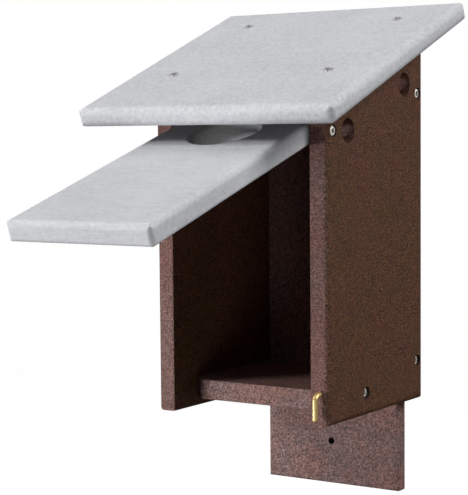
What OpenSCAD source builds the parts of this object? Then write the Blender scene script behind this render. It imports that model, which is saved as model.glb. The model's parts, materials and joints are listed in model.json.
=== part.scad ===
// Hanging-front birdhouse made of flat boards with eased edges.
// Two side boards stand on either side of a back board that runs on below the
// house as a mounting tail. A floor with clipped corners sits between the
// sides, a sloping roof board overhangs all round, and the front board is a
// door that swings on two pivot screws near its top. A square-bend screw hook
// in the right side's front edge is the catch.
//
// Frame: origin on the rear face, centred, level with the side boards' lower
// ends. X points right as seen from the front, -Y points out of the front and
// +Z points up.

/* [House] */
// Clear width between the two side boards
inner_w = 127; // [100:1:170]
// Depth of the side boards from front edge to rear edge
side_depth = 158; // [130:1:200]
// Height of the side boards along their front edge
front_h = 247.5; // [200:0.5:320]
// Thickness of every board
board_t = 16; // [13:0.5:20]
// Angle of the roof and of the boards' upper ends below it
roof_slope = 21.5; // [8:0.5:30]
// Length of the back board that shows below the side boards
tail_h = 79; // [60:1:120]
// Radius of the rounded outer edges of the side boards
side_round = 5.2; // [2:0.1:6]
// Radius of the rounded edges of the back board
back_round = 3; // [1:0.1:5]
// Width taken off the boards' inner edges to make them blunt
blunt = 0.9; // [0.5:0.1:1.5]

/* [Roof] */
// Width of the roof board
roof_w = 230; // [215:1:300]
// Length of the roof board along its slope
roof_len = 236; // [230:1:320]
// Roof overhang in front of the side boards, along the slope
eave = 54.8; // [20:0.2:60]
// Radius of the rounded edges of the roof board
roof_round = 6.4; // [2:0.1:7]
// Radius of the roof board's four corners, seen from above
roof_corner = 6; // [1:0.5:12]

/* [Floor] */
// Height of the floor's underside above the side boards' lower ends
floor_lift = 7.5; // [2:0.5:20]
// Space between the closed door and the floor's front edge
floor_gap = 6.4; // [2:0.2:15]
// Width of the floor corners cut off at 45 degrees to drain the floor
corner_cut = 10; // [5:0.5:20]

/* [Door] */
// Angle by which the door stands open, from hanging straight down
door_open = 72; // [0:1:84]
// Space on either side of the door
door_gap = 1; // [0.6:0.1:2]
// Depth of the closed door's face behind the side boards' front edges
door_recess = 0.8; // [0:0.1:3]
// Height of the closed door's lower end above the side boards' lower ends
door_lift = 5.7; // [2:0.1:12]
// Height of the pivot screws below the side boards' front upper corners
pivot_drop = 23.4; // [22:0.1:30]
// Space between the roof and the top of the door as it swings past
swing_gap = 3.4; // [1:0.1:5]
// Radius of the rounded edges of the door's outer face
door_round = 4.6; // [1:0.1:6]
// Radius of the rounded edges of the door's inner face
door_inner_round = 2.2; // [0.5:0.1:4]
// Radius of the door's two lower corners, seen from the front
door_corner = 4; // [1:0.5:10]
// Diameter of the entrance hole
entrance_d = 56; // [28:1:66]
// Height of the entrance hole's centre below the pivot screws
entrance_drop = 26.8; // [20:0.2:90]
// Width of the bevel round the entrance hole
entrance_bevel = 1.2; // [0.5:0.1:2]
// Number of climbing grooves across the door's inner face
groove_count = 6; // [3:1:8]
// Distance from one climbing groove to the next
groove_pitch = 11; // [8:0.5:12]

/* [Vents] */
// Diameter of the vent holes in the side boards
vent_d = 19.6; // [10:0.2:22]
// Distance of the vent holes below the sloping upper end
vent_drop = 35.5; // [32:0.5:60]
// Distance of the front vent hole behind the front edge
front_vent_in = 31.2; // [28:0.2:45]
// Distance of the rear vent hole in front of the rear edge
rear_vent_in = 33.6; // [28:0.2:45]

/* [Screws] */
// Diameter of the screw heads
head_d = 8.2; // [7:0.1:9]
// Height of the screw heads
head_h = 2.6; // [2:0.1:3]
// Diameter of the screws' smooth shanks
shank_d = 4.2; // [3.5:0.1:5]
// Diameter of the screws' cores between the thread ridges
core_d = 2.9; // [2.4:0.1:3.3]
// Length of thread in the second board
bite = 18; // [12:0.5:19]
// Distance from one thread ridge to the next
thread_pitch = 2; // [1.5:0.1:3]
// Width of the square socket in the screw heads
socket_w = 3.5; // [2:0.1:3.8]
// Space round a screw head in its counterbore
head_gap = 0.7; // [0.4:0.1:1]
// Depth of an upper side screw head's top below the board's face
head_sink = 0.7; // [0.1:0.1:1.2]
// Depth of a lower side screw head's top below the board's face
low_sink = 1.9; // [0.1:0.1:3]
// Depth of a roof screw head's top below the roof's face
roof_sink = 1.1; // [0.1:0.1:2]
// Radial clearance of a fixed screw in its hole
screw_fit = 0.05; // [0.03:0.01:0.1]
// Radial clearance of a turning pivot screw or catch in its hole
turn_fit = 0.06; // [0.03:0.01:0.1]
// Space under the head of a turning pivot screw
pivot_play = 0.4; // [0.3:0.1:1]
// Height of the lower pair of side screws
low_screw_z = 33; // [28:1:60]
// Distance of the upper pair of side screws below the rear upper corners
high_screw_drop = 55.5; // [40:0.5:90]
// Distance of the floor screws behind the front edge
floor_screw_in = 60; // [45:1:90]
// Distance of the front roof screws behind the side boards' front edge, along the slope
front_roof_screw = 22; // [18:1:40]
// Distance of the rear roof screws behind the side boards' front edge, along the slope
rear_roof_screw = 142; // [90:1:145]

/* [Catch] */
// Wire diameter of the catch hook
wire_d = 4.5; // [2.5:0.1:5]
// Height of the catch hook's shank
hook_z = 24.7; // [20:0.1:45]
// Distance from the front edge to the middle of the hook's leg
hook_out = 6.6; // [5:0.2:14]
// Length of the hook's leg below the middle of its shank
hook_leg = 20.2; // [14:0.2:24]
// Inner radius of the hook's bend
hook_bend = 1.6; // [1:0.1:3]
// Length of the hook's shank in the side board
hook_depth = 19; // [12:1:30]

/* [Mounting] */
// Diameter of the mounting holes through the back board
mount_d = 5.8; // [3:0.2:7]
// Distance of the lower mounting hole below the side boards' lower ends
low_mount = 42; // [20:1:50]
// Height of the upper mounting hole, inside the house
high_mount = 180; // [100:5:190]

/* [Hidden] */
outer_w = inner_w + 2 * board_t;
slope_rise = tan(roof_slope);
rear_h = front_h + side_depth * slope_rise;
high_screw_z = rear_h - high_screw_drop;
side_mid = inner_w / 2 + board_t / 2;
pivot_in = door_recess + board_t / 2;
pivot_z = front_h - pivot_drop;
roof_reach = pivot_drop * cos(roof_slope) + pivot_in * sin(roof_slope);
door_w = inner_w - 2 * door_gap;
door_up = sqrt(pow(roof_reach - swing_gap, 2) - pow(board_t / 2, 2));
door_down = pivot_z - door_lift;
floor_in = door_recess + board_t + floor_gap;
floor_screw_z = floor_lift + board_t * 0.68;
back_screw_in = board_t * 0.62;
counter_d = head_d + 2 * head_gap;
roof_seat = board_t - head_h - roof_sink;
groove_w = entrance_d + 2;
groove_deep = board_t * 0.12;
groove_high = 2.4;
far = 500;

// Thickness of side board left under the head of a screw
function grip(sink) = board_t - head_h - sink;

// Upper end of a board at a given distance behind the front edge
function top_at(back) = front_h + back * slope_rise;

// Quarter turn of a rounded corner, in steps that suit its radius
function quarter(x, y, r, a) = let (n = max(2, ceil(r * 1.2)))
    [for (i = [0:n]) [x + r * cos(a + 90 * i / n), y + r * sin(a + 90 * i / n)]];

// Rectangle with its own radius at each corner, anticlockwise from the lower left
function eased(x0, y0, x1, y1, r) = concat(
    quarter(x0 + r[0], y0 + r[0], r[0], 180),
    quarter(x1 - r[1], y0 + r[1], r[1], 270),
    quarter(x1 - r[2], y1 - r[2], r[2], 0),
    quarter(x0 + r[3], y1 - r[3], r[3], 90)
);

// Extrusions of a section drawn in (y, z) along X, and in (x, z) along Y
module along_x(x0, x1) {
    translate([x0, 0, 0])
        rotate([90, 0, 90])
            linear_extrude(x1 - x0)
                children();
}

module along_y(y0, y1) {
    translate([0, y1, 0])
        rotate([90, 0, 0])
            linear_extrude(y1 - y0)
                children();
}

// Places children in the sloping frame of the roof's underside
module on_slope() {
    translate([0, -side_depth, front_h])
        rotate([roof_slope, 0, 0])
            children();
}

// Keeps the right hand as it is and mirrors it for the left
module hand(s) {
    mirror([s < 0 ? 1 : 0, 0, 0])
        children();
}

// Points a screw's head along +X at the seat of its counterbore
module into_side(y, z, sink) {
    translate([outer_w / 2 - head_h - sink, y, z])
        rotate([0, 90, 0])
            children();
}

// Hole for a screw: counterbore above the seat, clearance hole below it
module screw_hole(play) {
    cylinder(h = head_h + 10, d = counter_d, $fn = 48);
    translate([0, 0, -far / 10])
        cylinder(h = far / 10 + 1, d = shank_d + 2 * play, $fn = 48);
}

// Blind hole for a screw's thread, down from the seat
module thread_hole(depth) {
    translate([0, 0, -depth])
        cylinder(h = depth, d = shank_d + 2 * screw_fit, $fn = 48);
}

// Ridged outline of a thread from z downwards, as half a section
function ridges(z, length, pitch, r_in, r_out) = let (n = floor(length / pitch))
    [for (i = [0:n - 1], k = [0:2])
        [k == 1 ? r_out : r_in, z - i * pitch - pitch * [0.08, 0.5, 0.84][k]]];

// Round-headed wood screw with a square socket, seat at z = 0, point downwards
module screw(neck, thread) {
    point = shank_d * 0.9;
    difference() {
        rotate_extrude($fn = 48)
            polygon(concat(
                [[0, head_h], [head_d * 0.3, head_h], [head_d * 0.43, head_h * 0.82],
                 [head_d * 0.5, head_h * 0.5], [head_d * 0.5, head_h * 0.12],
                 [head_d * 0.48, 0], [shank_d / 2, 0], [shank_d / 2, -neck]],
                ridges(-neck, thread - point, thread_pitch, core_d / 2, shank_d / 2),
                [[core_d / 2, point - neck - thread], [0, -neck - thread]]
            ));
        translate([0, 0, head_h * 0.25])
            rotate([0, 0, 45])
                cylinder(h = head_h, d = socket_w * sqrt(2), $fn = 4);
    }
}

module steel() {
    color([0.78, 0.75, 0.68])
        children();
}

// Outline of a side board before it is drilled
module side_blank() {
    intersection() {
        along_x(inner_w / 2 - 1, outer_w / 2 + 1)
            polygon([[-side_depth, 0], [0, 0], [0, rear_h], [-side_depth, front_h]]);
        translate([0, 0, -1])
            linear_extrude(far)
                polygon(eased(inner_w / 2, -side_depth, outer_w / 2, 0,
                    [blunt, side_round, side_round, blunt]));
        along_y(-side_depth - 1, 1)
            polygon(eased(inner_w / 2, 0, outer_w / 2, far,
                [blunt, side_round, blunt, blunt]));
    }
}

// Side board with its vents, screw holes, pivot bore and roof screw pilots
module side_panel(s) {
    color([0.29, 0.21, 0.17])
        hand(s)
            difference() {
                side_blank();
                for (back = [front_vent_in, side_depth - rear_vent_in])
                    translate([0, back - side_depth, top_at(back) - vent_drop])
                        rotate([0, 90, 0])
                            cylinder(h = outer_w, d = vent_d, $fn = 64);
                into_side(pivot_in - side_depth, pivot_z, head_sink)
                    screw_hole(turn_fit);
                into_side(-back_screw_in, high_screw_z, head_sink)
                    screw_hole(screw_fit);
                into_side(-back_screw_in, low_screw_z, low_sink)
                    screw_hole(screw_fit);
                into_side(floor_screw_in - side_depth, floor_screw_z, low_sink)
                    screw_hole(screw_fit);
                for (l = [front_roof_screw, rear_roof_screw])
                    on_slope()
                        translate([side_mid, l, 1])
                            thread_hole(bite + 2);
                if (s > 0)
                    translate([side_mid, -side_depth - 1, hook_z])
                        rotate([-90, 0, 0])
                            cylinder(h = hook_depth + 1.5, d = wire_d + 2 * turn_fit, $fn = 48);
            }
}

// Back board, with its tail, two mounting holes and the side screws' pilots
module back_board() {
    color([0.36, 0.28, 0.25])
        difference() {
            intersection() {
                translate([0, 0, -tail_h - 1])
                    linear_extrude(far + tail_h)
                        polygon(eased(-inner_w / 2, -board_t, inner_w / 2, 0,
                            [back_round, back_round, back_round, back_round]));
                along_x(-inner_w, inner_w)
                    polygon(eased(-board_t, -tail_h, 0, far,
                        [back_round, back_round, blunt, blunt]));
                along_x(-inner_w, inner_w)
                    polygon([[-board_t - 1, -tail_h - 1], [1, -tail_h - 1],
                        [1, top_at(side_depth + 1)], [-board_t - 1, top_at(side_depth - board_t - 1)]]);
            }
            for (z = [-low_mount, high_mount])
                translate([0, 1, z])
                    rotate([90, 0, 0])
                        cylinder(h = board_t + 2, d = mount_d, $fn = 48);
            for (s = [-1, 1], z = [low_screw_z, high_screw_z])
                hand(s)
                    translate([inner_w / 2 + 1, -back_screw_in, z])
                        rotate([0, 90, 0])
                            thread_hole(bite + 2);
        }
}

// Floor, with clipped corners that let water out
module floor_panel() {
    w = inner_w / 2;
    y0 = floor_in - side_depth;
    y1 = -board_t;
    c = corner_cut;
    color([0.36, 0.28, 0.25])
        difference() {
            intersection() {
                linear_extrude(far)
                    polygon([[c - w, y0], [w - c, y0], [w, y0 + c], [w, y1 - c],
                        [w - c, y1], [c - w, y1], [-w, y1 - c], [-w, y0 + c]]);
                along_x(-w - 1, w + 1)
                    polygon(eased(y0, floor_lift, y1, floor_lift + board_t,
                        [blunt, blunt, blunt, blunt]));
            }
            for (s = [-1, 1])
                hand(s)
                    translate([inner_w / 2 + 1, floor_screw_in - side_depth, floor_screw_z])
                        rotate([0, 90, 0])
                            thread_hole(bite + 2);
        }
}

// Roof board with counterbored screw holes
module roof_panel() {
    x = roof_w / 2;
    y0 = -eave;
    y1 = roof_len - eave;
    r = [roof_round, roof_round, roof_round, roof_round];
    c = [roof_corner, roof_corner, roof_corner, roof_corner];
    color([0.76, 0.78, 0.79])
        on_slope()
            difference() {
                intersection() {
                    translate([0, 0, -1])
                        linear_extrude(board_t + 2)
                            polygon(eased(-x, y0, x, y1, c));
                    along_x(-x - 1, x + 1)
                        polygon(eased(y0, 0, y1, board_t, r));
                    along_y(y0 - 1, y1 + 1)
                        polygon(eased(-x, 0, x, board_t, r));
                }
                for (s = [-1, 1], l = [front_roof_screw, rear_roof_screw])
                    translate([s * side_mid, l, roof_seat])
                        screw_hole(screw_fit);
            }
}

// Turns what is drawn for the closed door, about the pivot, to where it stands
module on_door() {
    translate([0, pivot_in - side_depth, pivot_z])
        rotate([-door_open, 0, 0])
            children();
}

// Front board: the door, drawn closed round its pivot axis
module front_door() {
    x = door_w / 2;
    y = board_t / 2;
    r = door_round;
    i = door_inner_round;
    c = door_corner;
    color([0.76, 0.78, 0.79])
        on_door()
            difference() {
                intersection() {
                    along_y(-y - 1, y + 1)
                        polygon(eased(-x, -door_down, x, door_up, [c, c, blunt, blunt]));
                    along_x(-x - 1, x + 1)
                        polygon(eased(-y, -door_down, y, door_up, [r, i, blunt, r]));
                    translate([0, 0, -door_down - 1])
                        linear_extrude(door_down + door_up + 2)
                            polygon(eased(-x, -y, x, y, [r, r, i, i]));
                }
                translate([0, 0, -entrance_drop])
                    rotate([90, 0, 0]) {
                        cylinder(h = board_t + 2, d = entrance_d, center = true, $fn = 96);
                        for (m = [0, 1])
                            mirror([0, 0, m])
                                translate([0, 0, y - entrance_bevel])
                                    cylinder(h = 3, d1 = entrance_d, d2 = entrance_d + 6, $fn = 96);
                    }
                for (k = [1:groove_count])
                    translate([-groove_w / 2, y - groove_deep,
                        -entrance_drop - entrance_d / 2 - k * groove_pitch])
                        cube([groove_w, groove_deep + 1, groove_high]);
                for (s = [-1, 1])
                    hand(s)
                        translate([door_w / 2 + 1, 0, 0])
                            rotate([0, 90, 0])
                                thread_hole(bite + 2);
            }
}

// Screw that goes through a side board and into the door, where it turns with the door
module pivot_screw(s) {
    steel()
        on_door()
            hand(s)
                into_side(0, 0, head_sink - pivot_play)
                    screw(grip(head_sink - pivot_play) + door_gap, bite);
}

// Screw from a side board into the board inside it
module side_screw(s, y, z, sink) {
    steel()
        hand(s)
            into_side(y, z, sink)
                screw(grip(sink), bite);
}

// Screw from the roof into the upper end of a side board
module roof_screw(s, l) {
    steel()
        on_slope()
            translate([s * side_mid, l, roof_seat])
                screw(roof_seat, bite);
}

// Square-bend screw hook: threaded shank, quarter bend, round-ended leg
module latch_hook() {
    r = wire_d / 2;
    turn = hook_bend + r;
    color([0.82, 0.64, 0.27])
        translate([side_mid, -side_depth, hook_z]) {
            rotate([-90, 0, 0])
                rotate_extrude($fn = 48)
                    polygon(concat(
                        [[0, hook_depth], [0, turn - hook_out], [r, turn - hook_out], [r, 1.5]],
                        [for (i = [0:floor((hook_depth - 5) / thread_pitch) - 1], k = [0:2])
                            [k == 1 ? r : r * 0.74, 1.5 + thread_pitch * (i + [0.08, 0.5, 0.84][k])]],
                        [[r * 0.74, hook_depth - 3]]
                    ));
            translate([0, turn - hook_out, -turn])
                rotate([90, 0, 90])
                    rotate_extrude(angle = 90, start = 90, $fn = 64)
                        translate([turn, 0])
                            circle(d = wire_d, $fn = 48);
            translate([0, -hook_out, -hook_leg])
                rotate_extrude($fn = 48)
                    polygon([[0, 0], [r * 0.5, 0.13 * r], [r * 0.87, 0.5 * r], [r, r],
                        [r, hook_leg - turn], [0, hook_leg - turn]]);
        }
}

roof_panel();
side_panel(-1);  // left_side_panel
side_panel(1);  // right_side_panel
back_board();
floor_panel();
front_door();
latch_hook();
pivot_screw(-1);  // door_pivot_screw_left
pivot_screw(1);  // door_pivot_screw_right
side_screw(-1, -back_screw_in, high_screw_z, head_sink);  // back_screw_left_upper
side_screw(-1, -back_screw_in, low_screw_z, low_sink);  // back_screw_left_lower
side_screw(1, -back_screw_in, high_screw_z, head_sink);  // back_screw_right_upper
side_screw(1, -back_screw_in, low_screw_z, low_sink);  // back_screw_right_lower
side_screw(-1, floor_screw_in - side_depth, floor_screw_z, low_sink);  // floor_screw_left
side_screw(1, floor_screw_in - side_depth, floor_screw_z, low_sink);  // floor_screw_right
roof_screw(-1, front_roof_screw);  // roof_screw_front_left
roof_screw(1, front_roof_screw);  // roof_screw_front_right
roof_screw(-1, rear_roof_screw);  // roof_screw_rear_left
roof_screw(1, rear_roof_screw);  // roof_screw_rear_right
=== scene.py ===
# %% [markdown]
# # A birdhouse of recycled plastic boards
# The house is two brown side boards, a brown back board that runs on below as a
# mounting tail, a brown floor, a pale grey roof and a pale grey front board. The
# front board is a door on two pivot screws, and a brass hook is its catch. Every
# solid comes from the CAD model and stays where it is. This script gives each one
# its finish, and adds a camera, lights and a floor.

# %% Load the frame
import json
import math

import bpy
from mathutils import Matrix, Vector


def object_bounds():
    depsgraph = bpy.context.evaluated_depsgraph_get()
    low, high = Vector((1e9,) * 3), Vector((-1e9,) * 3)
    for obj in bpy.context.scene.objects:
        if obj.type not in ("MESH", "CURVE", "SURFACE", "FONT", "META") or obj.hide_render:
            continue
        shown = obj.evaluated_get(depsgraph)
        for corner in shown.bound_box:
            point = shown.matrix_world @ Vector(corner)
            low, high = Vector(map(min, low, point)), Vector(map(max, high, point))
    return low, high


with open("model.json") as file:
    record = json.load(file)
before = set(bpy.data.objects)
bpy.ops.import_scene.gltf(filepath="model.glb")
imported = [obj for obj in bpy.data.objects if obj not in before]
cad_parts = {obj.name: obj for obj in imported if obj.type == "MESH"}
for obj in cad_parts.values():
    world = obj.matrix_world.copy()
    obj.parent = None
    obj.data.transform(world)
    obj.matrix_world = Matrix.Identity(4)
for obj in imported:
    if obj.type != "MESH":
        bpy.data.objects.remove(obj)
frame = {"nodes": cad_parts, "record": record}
cad_low, cad_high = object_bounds()
print("CAD size in mm:", [round(1000 * side) for side in cad_high - cad_low])

# %% [markdown]
# ## The camera
# A birdhouse is shown best from a little above its door, far enough away that
# upright edges stay nearly parallel. A long lens does that. The camera could be
# placed by typing a location, but an angle round the house, an angle above it and
# a distance say the same thing in words that can be checked, so its three
# directions are built from those angles.

# %% Place the camera
SCENE = bpy.context.scene
camera_azimuth = math.radians(33.44)
camera_elevation = math.radians(4.20)
camera_roll = math.radians(-0.51)
camera_distance = 1.2904
camera_lens = 113.7
aim = (cad_low + cad_high) / 2 + Vector((-0.0448, 0.0771, 0.0049))


def direction(azimuth, elevation):
    """Unit vector from the house towards a place round it: 0 is in front, + is to its right."""
    flat = math.cos(elevation)
    return Vector((math.sin(azimuth) * flat, -math.cos(azimuth) * flat, math.sin(elevation)))


def add_camera():
    """A camera that looks at the aim point from the chosen angles, rolled a little."""
    back = direction(camera_azimuth, camera_elevation)
    level = Vector((0, 0, 1)).cross(back).normalized()
    upright = back.cross(level)
    right = level * math.cos(camera_roll) + upright * math.sin(camera_roll)
    up = back.cross(right)
    camera = bpy.data.objects.new("camera", bpy.data.cameras.new("camera"))
    camera.data.lens = camera_lens
    camera.data.sensor_width = 36
    camera.data.clip_start = 0.05
    camera.data.clip_end = 100
    turn = Matrix((right, up, back)).transposed().to_4x4()
    camera.matrix_world = Matrix.Translation(aim + back * camera_distance) @ turn
    SCENE.collection.objects.link(camera)
    SCENE.camera = camera
    return camera


camera = add_camera()
print("camera at", [round(v, 3) for v in camera.matrix_world.translation])

# %% [markdown]
# ## Writing shader maths as Python
# A finish is a network of nodes. Added one by one with their links, the sums are
# hard to read. Here a small class holds one output socket, and `+`, `-` and `*`
# add the Math nodes, so `1 - mask * 0.4` means what it says. Everything that
# isn't plain arithmetic comes from one method, `node`, which takes the node's
# type, its settings and what its sockets hold.


# %% Shader tools
class Signal:
    """One output socket in a material, on which Python's arithmetic adds Math nodes."""

    def __init__(self, tree, socket):
        self.tree = tree
        self.socket = socket

    def node(self, kind, settings=None, sockets=None, out=0):
        """Adds a node, sets it up first, then fills its sockets with values or links."""
        made = self.tree.nodes.new(kind)
        for key, value in (settings or {}).items():
            if key == "stops":
                shape_ramp(made.color_ramp, value)
            else:
                setattr(made, key, value)
        for key, value in (sockets or {}).items():
            fill(self.tree, find_socket(made.inputs, key), value)
        return Signal(self.tree, find_socket(made.outputs, out))

    def maths(self, operation, first, second=0.0):
        """A Math node on two values, either of which may be a plain number."""
        return self.node("ShaderNodeMath", {"operation": operation}, {0: first, 1: second})

    def __add__(self, other):
        return self.maths("ADD", self, other)

    __radd__ = __add__

    def __sub__(self, other):
        return self.maths("SUBTRACT", self, other)

    def __rsub__(self, other):
        return self.maths("SUBTRACT", other, self)

    def __mul__(self, other):
        return self.maths("MULTIPLY", self, other)

    __rmul__ = __mul__

    def between(self, low, high):
        """0 below low, 1 above high and a smooth climb between them."""
        settings = {"interpolation_type": "SMOOTHSTEP"}
        return self.node("ShaderNodeMapRange", settings,
            {"Value": self, "From Min": low, "From Max": high})


def find_socket(sockets, key):
    """A socket by its number, its identifier or its name."""
    if isinstance(key, int):
        return sockets[key]
    return next(s for s in sockets if key in (s.identifier, s.name))


def fill(tree, socket, value):
    """Links a signal to a socket, or sets the socket's own value."""
    if isinstance(value, Signal):
        tree.links.new(value.socket, socket)
    else:
        socket.default_value = value


def shape_ramp(ramp, stops):
    """Gives a colour ramp these (position, colour) stops."""
    while len(ramp.elements) < len(stops):
        ramp.elements.new(1.0)
    for element, (position, colour) in zip(ramp.elements, stops):
        element.position = position
        element.color = (*colour, 1)


# %% [markdown]
# ## Starting a finish
# Each finish begins the same way: an empty material, the place of each point on
# the board, and at the end a Principled shader. The place is read in the object's
# own space, in metres, so the grain has its real scale, carries on across edges
# and moves with the door. Wear, painted front light and painted shade depend on
# shape as well as place, so four of the helpers ask about the surface: whether it
# is near an edge, which way it faces, how far down a hole it is, and how it would
# be lit with softer corners.


# %% Helpers shared by the finishes
def start_finish(name):
    """A new material's empty tree, and the signal of each point's place in metres."""
    material = bpy.data.materials.new(name)
    material.use_nodes = True
    tree = material.node_tree
    tree.nodes.clear()
    place = Signal(tree, None).node("ShaderNodeTexCoord", out="Object")
    return material, place


def end_finish(place, sockets):
    """Adds the Principled shader with these sockets and sends it to the surface."""
    shader = place.node("ShaderNodeBsdfPrincipled", None, sockets)
    output = place.tree.nodes.new("ShaderNodeOutputMaterial")
    fill(place.tree, output.inputs["Surface"], shader)


def stretched(place, scale):
    """The place with each axis scaled, for grain that runs along one of them."""
    return place.node("ShaderNodeVectorMath", {"operation": "MULTIPLY"}, {0: place, 1: scale})


def noise(place, scale, detail, roughness):
    """Soft random patches, one every 1 / scale metres, from 0 to 1."""
    return place.node("ShaderNodeTexNoise", {"noise_dimensions": "3D"},
        {"Vector": place, "Scale": scale, "Detail": detail, "Roughness": roughness}, "Fac")


def grains(place, scale):
    """Distance from the nearest of many scattered points, for separate flecks."""
    return place.node("ShaderNodeTexVoronoi", {"feature": "F1"},
        {"Vector": place, "Scale": scale}, "Distance")


def blend(share, first, second):
    """A colour that goes from the first to the second as share goes from 0 to 1."""
    return share.node("ShaderNodeMix", {"data_type": "RGBA"},
        {"Factor_Float": share, "A_Color": first, "B_Color": second}, "Result_Color")


def worn_edge(place, width):
    """1 along sharp edges and 0 on flat faces, by how far a rounded normal turns."""
    soft = place.node("ShaderNodeBevel", {"samples": 6}, {"Radius": width}, "Normal")
    true = place.node("ShaderNodeNewGeometry", out="Normal")
    agree = place.node("ShaderNodeVectorMath", {"operation": "DOT_PRODUCT"},
        {0: soft, 1: true}, "Value")
    return (1 - agree).between(0.01, 0.2)


def open_sky(place, reach):
    """1 in the open and less in holes and sockets, where the piece hides its own sky."""
    return place.node("ShaderNodeAmbientOcclusion", {"samples": 8, "only_local": True},
        {"Distance": reach}, "AO")


def rounded(place, width):
    """The normal that the surface would have with its corners rounded by width."""
    return place.node("ShaderNodeBevel", {"samples": 8}, {"Radius": width}, "Normal")


def facing(place, axis):
    """1 on faces square to one axis of the object, 0 on all the others."""
    normal = place.node("ShaderNodeTexCoord", out="Normal")
    part = place.node("ShaderNodeSeparateXYZ", None, {"Vector": normal}, axis)
    return part.maths("ABSOLUTE", part).between(0.80, 0.97)


def rgb(red, green, blue):
    """A colour socket's four numbers."""
    return (red, green, blue, 1.0)


# %% [markdown]
# ## Pale grey boards
# Recycled milk bottles are melted with a little grey pigment and pressed into
# boards. The pigment never mixes quite evenly: there are faint clouds and a fine
# crackle a few millimetres across, and the skin is pebbled by the press. A flat
# grey would look like painted card, so several sizes of noise are laid over each
# other, all of them weak, and the same patterns drive roughness and bump. The
# door's board was drawn across its width, so its finish has faint streaks as well.


# %% Make the grey finishes
def grey_board(name, streaks, softness):
    """Pressed recycled plastic, pale grey, cloudy and pebbled, with corners eased by softness."""
    material, place = start_finish(name)
    clouds = noise(place, scale=18, detail=4, roughness=0.6)
    drawn = noise(stretched(place, (45, 520, 520)), scale=1, detail=3, roughness=0.6)
    crackle = noise(place, scale=310, detail=4, roughness=0.62)
    pebbles = noise(place, scale=900, detail=2, roughness=0.5)
    flecks = 1 - grains(place, scale=290).between(0.08, 0.22)
    edge = worn_edge(place, width=0.0012)
    tone = clouds * 0.22 + crackle * (0.78 - streaks) + drawn * streaks
    colour = place.node("ShaderNodeValToRGB", {"stops": [
        (0.34, (0.440, 0.447, 0.470)),
        (0.50, (0.540, 0.547, 0.571)),
        (0.66, (0.615, 0.621, 0.642)),
    ]}, {"Fac": tone}, "Color")
    colour = blend(flecks * 0.12, colour, rgb(0.36, 0.37, 0.38))
    colour = blend(edge * 0.25, colour, rgb(0.62, 0.62, 0.64))
    height = pebbles * 0.5 + crackle * 0.5 + drawn * streaks
    bump = place.node("ShaderNodeBump", None,
        {"Strength": 0.45, "Distance": 0.0004, "Height": height,
            "Normal": rounded(place, softness)}, "Normal")
    end_finish(place, {
        "Base Color": colour,
        "Roughness": 0.52 + 0.16 * crackle + 0.06 * clouds - 0.06 * edge,
        "IOR": 1.50,
        "Specular IOR Level": 0.4,
        "Normal": bump,
    })
    return material


roof_grey = grey_board("grey_roof_board", streaks=0.12, softness=0.0028)
door_grey = grey_board("grey_door_board", streaks=0.34, softness=0.0016)
print("made", roof_grey.name, "with", len(roof_grey.node_tree.nodes), "nodes")

# %% [markdown]
# ## Brown boards
# The brown boards hold far more pigment and ground-up filler. Close to, they are
# a dense speckle of tan, rust and near-black grains about a millimetre across,
# with slow shifts between an olive and a redder brown along a board. Their front
# and rear edges were planed, which opens paler, greyer grains than the pressed
# faces show, and those faces are painted paler again as painted light from the
# front. Drilled holes are painted near-black as painted shade. One function makes
# both boards from four colours: two for pressed faces and two for planed ones,
# which carry the painted front light; the back board's colours are painted paler
# than the sides' for the same front light.


# %% Make the brown finishes
def brown_board(name, face, red_face, planing_lit, red_planing_lit):
    """Pressed recycled plastic, brown, with coarse grains, planed edges painted paler with front
    light, and holes painted near-black as shade.
    """
    material, place = start_finish(name)
    drift = noise(place, scale=24, detail=3, roughness=0.6).between(0.38, 0.62)
    speckle = noise(place, scale=640, detail=4, roughness=0.75)
    clumps = noise(place, scale=230, detail=3, roughness=0.6)
    pale_grains = 1 - grains(place, scale=560).between(0.10, 0.36)
    dark_grains = 1 - grains(stretched(place, (1, 1, 0.8)), scale=470).between(0.10, 0.30)
    edge = worn_edge(place, width=0.0011)
    # Painted shade: deep in holes, where the board hides its own sky, the colour is blended
    # towards near-black further down.
    hole_shade = 1 - open_sky(place, reach=0.012).between(0.45, 0.85)
    # Painted light: faces square to the front-to-back axis take the paler colours, partly for
    # their planed finish and partly as painted light from the front boxes.
    planing_and_light_mask = facing(place, "Y") * (1 - hole_shade)
    tone = (speckle * 0.82 + clumps * 0.18).between(0.36, 0.64)
    pressed = blend(drift, rgb(*face), rgb(*red_face))
    planing_and_light_colour = blend(drift, rgb(*planing_lit), rgb(*red_planing_lit))
    base = blend(planing_and_light_mask, pressed, planing_and_light_colour)
    shade = 1.00 + (tone - 0.5) * (1.75 - 0.30 * planing_and_light_mask)
    colour = place.node("ShaderNodeVectorMath", {"operation": "SCALE"},
        {0: base, "Scale": shade}, "Vector")
    colour = blend(pale_grains * 0.34, colour, rgb(0.44, 0.31, 0.25))
    colour = blend(dark_grains * 0.14, colour, rgb(0.024, 0.012, 0.009))
    colour = blend(edge * 0.25, colour, rgb(0.20, 0.14, 0.11))
    # Painted shade in the holes.
    colour = blend(hole_shade * 0.85, colour, rgb(0.012, 0.007, 0.005))
    height = tone + pale_grains * 0.4 - dark_grains * 0.4
    bump = place.node("ShaderNodeBump", None,
        {"Strength": 0.8, "Distance": 0.0005, "Height": height}, "Normal")
    end_finish(place, {
        "Base Color": colour,
        "Roughness": 0.46 + 0.20 * speckle + 0.06 * planing_and_light_mask - 0.05 * edge,
        "IOR": 1.50,
        "Specular IOR Level": 0.4,
        "Normal": bump,
    })
    return material


side_brown = brown_board("brown_side_board",
    face=(0.091, 0.036, 0.010), red_face=(0.102, 0.033, 0.014),
    planing_lit=(0.192, 0.104, 0.092), red_planing_lit=(0.206, 0.096, 0.081))
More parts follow.
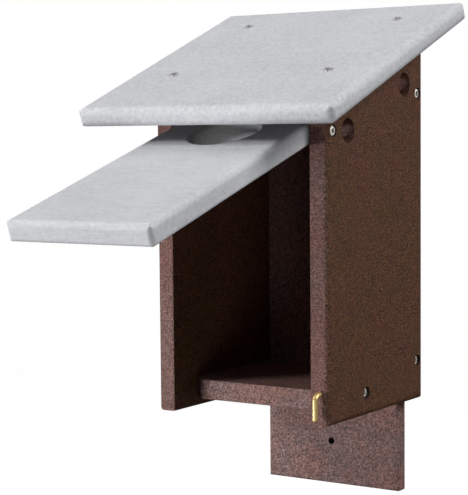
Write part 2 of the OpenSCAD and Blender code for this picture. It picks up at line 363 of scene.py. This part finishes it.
# The back board is the same brown stock as the sides; its colours are painted paler, as painted
# light from the front boxes that face it.
paler_lit_back = brown_board("back_stock_painted_lit",
    face=(0.205, 0.128, 0.122), red_face=(0.232, 0.120, 0.104),
    planing_lit=(0.216, 0.137, 0.131), red_planing_lit=(0.246, 0.128, 0.111))
print("made", side_brown.name, "and", paler_lit_back.name)

# %% [markdown]
# ## Screw steel
# The screws are coated steel: a pale, slightly warm skin that is duller than bare
# metal, worn through to brighter steel on the rim of the head. A fully metallic
# shader shows only what it mirrors, which would be black on the side away from
# the lights, so the coating is made less metallic than the worn rim. The sockets
# are painted near-black as painted shade: the Ambient Occlusion node measures how
# little of the sky a point can see past its own screw, and that finds the recess
# on every screw.


# %% Make the steel finish
def screw_steel():
    """Pale coated steel, worn bright on its edges, with scratches, dull patches and sockets
    painted near-black as shade.
    """
    material, place = start_finish("screw_steel")
    dents = noise(place, scale=1600, detail=3, roughness=0.6)
    scratches = noise(stretched(place, (5200, 800, 800)), scale=1, detail=2, roughness=0.7)
    crossed = noise(stretched(place, (700, 700, 4800)), scale=1, detail=2, roughness=0.7)
    dull = noise(place, scale=420, detail=2, roughness=0.5).between(0.4, 0.7)
    edge = worn_edge(place, width=0.0004)
    # Painted shade: the recess of each socket, which sees little sky past its own screw, is
    # blended towards near-black.
    socket_shade = 1 - open_sky(place, reach=0.0025).between(0.40, 0.74)
    colour = blend(dull * 0.3 + dents * 0.2, rgb(0.96, 0.93, 0.86), rgb(0.78, 0.73, 0.64))
    colour = blend(edge * 0.4, colour, rgb(0.96, 0.94, 0.88))
    # Painted shade in the sockets.
    colour = blend(socket_shade, colour, rgb(0.012, 0.010, 0.009))
    height = dents * 0.5 + scratches * 0.3 + crossed * 0.3
    bump = place.node("ShaderNodeBump", None,
        {"Strength": 0.25, "Distance": 0.00012, "Height": height}, "Normal")
    end_finish(place, {
        "Base Color": colour,
        "Metallic": (0.16 + 0.40 * edge - 0.10 * dull) * (1 - socket_shade),
        "Roughness": 0.34 + 0.20 * dull + 0.10 * scratches + 0.30 * socket_shade,
        "Normal": bump,
    })
    return material


steel = screw_steel()
print("made", steel.name)

# %% [markdown]
# ## Brass
# The hook is bent from brass wire, so its drawing lines run along the leg. Where
# fingers turn it the brass stays bright, and elsewhere it dulls to a browner
# gold. A metal's colour comes from its reflection, so the shader is almost fully
# metallic, with a little left over for the film of tarnish, and the dull patches
# change both colour and roughness.


# %% Make the brass finish
def hook_brass():
    """Drawn brass wire, bright where it is handled and a little tarnished elsewhere."""
    material, place = start_finish("hook_brass")
    tarnish = noise(place, scale=260, detail=3, roughness=0.6).between(0.42, 0.68)
    lines = noise(stretched(place, (3600, 3600, 260)), scale=1, detail=3, roughness=0.6)
    dents = noise(place, scale=900, detail=2, roughness=0.5)
    edge = worn_edge(place, width=0.0004)
    colour = blend(tarnish * 0.6, rgb(0.80, 0.60, 0.27), rgb(0.56, 0.37, 0.13))
    colour = blend(edge * 0.4, colour, rgb(0.90, 0.74, 0.44))
    bump = place.node("ShaderNodeBump", None,
        {"Strength": 0.2, "Distance": 0.00015, "Height": lines * 0.6 + dents * 0.4}, "Normal")
    end_finish(place, {
        "Base Color": colour,
        "Metallic": 0.9,
        "Roughness": 0.42 + 0.12 * tarnish + 0.08 * lines,
        "Normal": bump,
    })
    return material


brass = hook_brass()
print("made", brass.name)

# %% [markdown]
# ## Putting the finishes on
# Which finish a piece takes follows from what it is, so the choice is made from
# the material slot that the model's record gives each node, and not from a list
# of every screw by name.

# %% Give each node its finish
FINISHES = {
    "grey_board": roof_grey,
    "door_board": door_grey,
    "brown_board": side_brown,
    "back_board": paler_lit_back,
    "screw": steel,
    "brass": brass,
}
slots = {part["node"]: part["material_slot"] for part in frame["record"]["subparts"]}
for name, node in frame["nodes"].items():
    node.data.materials.clear()
    node.data.materials.append(FINISHES[slots[name]])
print("finished", len(slots), "nodes")

# %% [markdown]
# ## The floor
# A studio floor is a sheet of white paper. The house hangs on a post at chest
# height, so the floor lies well below it, and it curves up far away all round,
# which hides its edge from every side. A flat plane would show a hard horizon, so
# the sheet is turned about the upright axis from a short outline: flat, then a
# quarter bend. The paper is lit from behind to an even white. It is so far from
# the house that it would hardly light it, so it is left out of bounced light.


# %% Make the floor
def floor_paper():
    """Pale matt paper with a trace of fibre, glowing as a lit studio sheet does."""
    material, place = start_finish("floor_paper")
    fibre = noise(place, scale=60, detail=3, roughness=0.6)
    colour = blend(fibre, rgb(0.80, 0.80, 0.80), rgb(0.84, 0.84, 0.84))
    end_finish(place, {
        "Base Color": colour,
        "Roughness": 0.85,
        "Specular IOR Level": 0.1,
        "Emission Color": rgb(1, 1, 1),
        "Emission Strength": 0.93,
    })
    return material


def add_floor():
    """A wide round sheet with an upturned rim, turned from its outline."""
    drop = 1.3
    flat = 9.0
    rim = 5.0
    steps = 10
    around = 96
    outline = [(0.6 * flat, 0.0)]
    for i in range(steps + 1):
        angle = math.pi / 2 * i / steps
        outline.append((flat + rim * math.sin(angle), rim * (1 - math.cos(angle))))
    height = cad_low.z - drop
    points = [(0, 0, height)]
    faces = []
    for i in range(around):
        turn = 2 * math.pi * i / around
        points += [(r * math.cos(turn), r * math.sin(turn), height + z) for r, z in outline]
    count = len(outline)
    for i in range(around):
        here, there = 1 + i * count, 1 + (i + 1) % around * count
        faces.append((0, here, there))
        faces += [(here + k, here + k + 1, there + k + 1, there + k) for k in range(count - 1)]
    mesh = bpy.data.meshes.new("floor_sheet")
    mesh.from_pydata(points, [], faces)
    mesh.materials.append(floor_paper())
    mesh.shade_smooth()
    floor = bpy.data.objects.new("floor_sheet", mesh)
    floor.visible_diffuse = False
    floor.visible_glossy = False
    floor.visible_shadow = False
    SCENE.collection.objects.link(floor)
    return floor


floor = add_floor()
print("floor faces:", len(floor.data.polygons))

# %% [markdown]
# ## The light
# Five softboxes and a dim room. The strongest stands low at the front left and
# lights the front edges, the tail and the end of the open door. One high on the
# left and one overhead light the roof and the door, and the roof's shadow falls
# on the door from them. The right side has its own box, set behind the house's
# front so that it doesn't shine into the nest space, and a weak one in front fills
# the corner between the two. Each box is given a level, the brightness that white
# paper facing it would have, because lamp power in watts means little until it is
# divided by the distance squared.


# %% Add the lights
def add_softbox(name, azimuth, elevation, size, level):
    """A square diffused panel that faces the house from a fixed distance."""
    distance = 3.2
    lamp = bpy.data.lights.new(name, "AREA")
    lamp.shape = "SQUARE"
    lamp.size = size
    lamp.energy = level * (math.pi * distance) ** 2
    light = bpy.data.objects.new(name, lamp)
    towards = direction(math.radians(azimuth), math.radians(elevation))
    light.location = (cad_low + cad_high) / 2 + towards * distance
    light.rotation_euler = towards.to_track_quat("Z", "Y").to_euler()
    SCENE.collection.objects.link(light)
    return light


def add_room(seen, lighting):
    """A plain white surround that the camera sees brighter than the house does."""
    world = bpy.data.worlds.new("room")
    world.use_nodes = True
    tree = world.node_tree
    tree.nodes.clear()
    start = Signal(tree, None)
    looked_at = start.node("ShaderNodeLightPath", out="Is Camera Ray")
    strength = looked_at * (seen - lighting) + lighting
    glow = start.node("ShaderNodeBackground", None,
        {"Color": rgb(1, 1, 1), "Strength": strength}, "Background")
    out = tree.nodes.new("ShaderNodeOutputWorld")
    fill(tree, out.inputs["Surface"], glow)
    SCENE.world = world


add_softbox("low_front_box", azimuth=-35, elevation=-14, size=0.9, level=0.83)
add_softbox("high_left_box", azimuth=-47, elevation=35, size=0.9, level=0.46)
add_softbox("overhead_box", azimuth=0, elevation=72, size=1.1, level=0.37)
add_softbox("right_box", azimuth=106, elevation=34, size=1.3, level=0.76)
add_softbox("fill_box", azimuth=45, elevation=-25, size=1.3, level=0.13)
add_room(seen=1.0, lighting=0.040)
SCENE.view_settings.view_transform = "Standard"
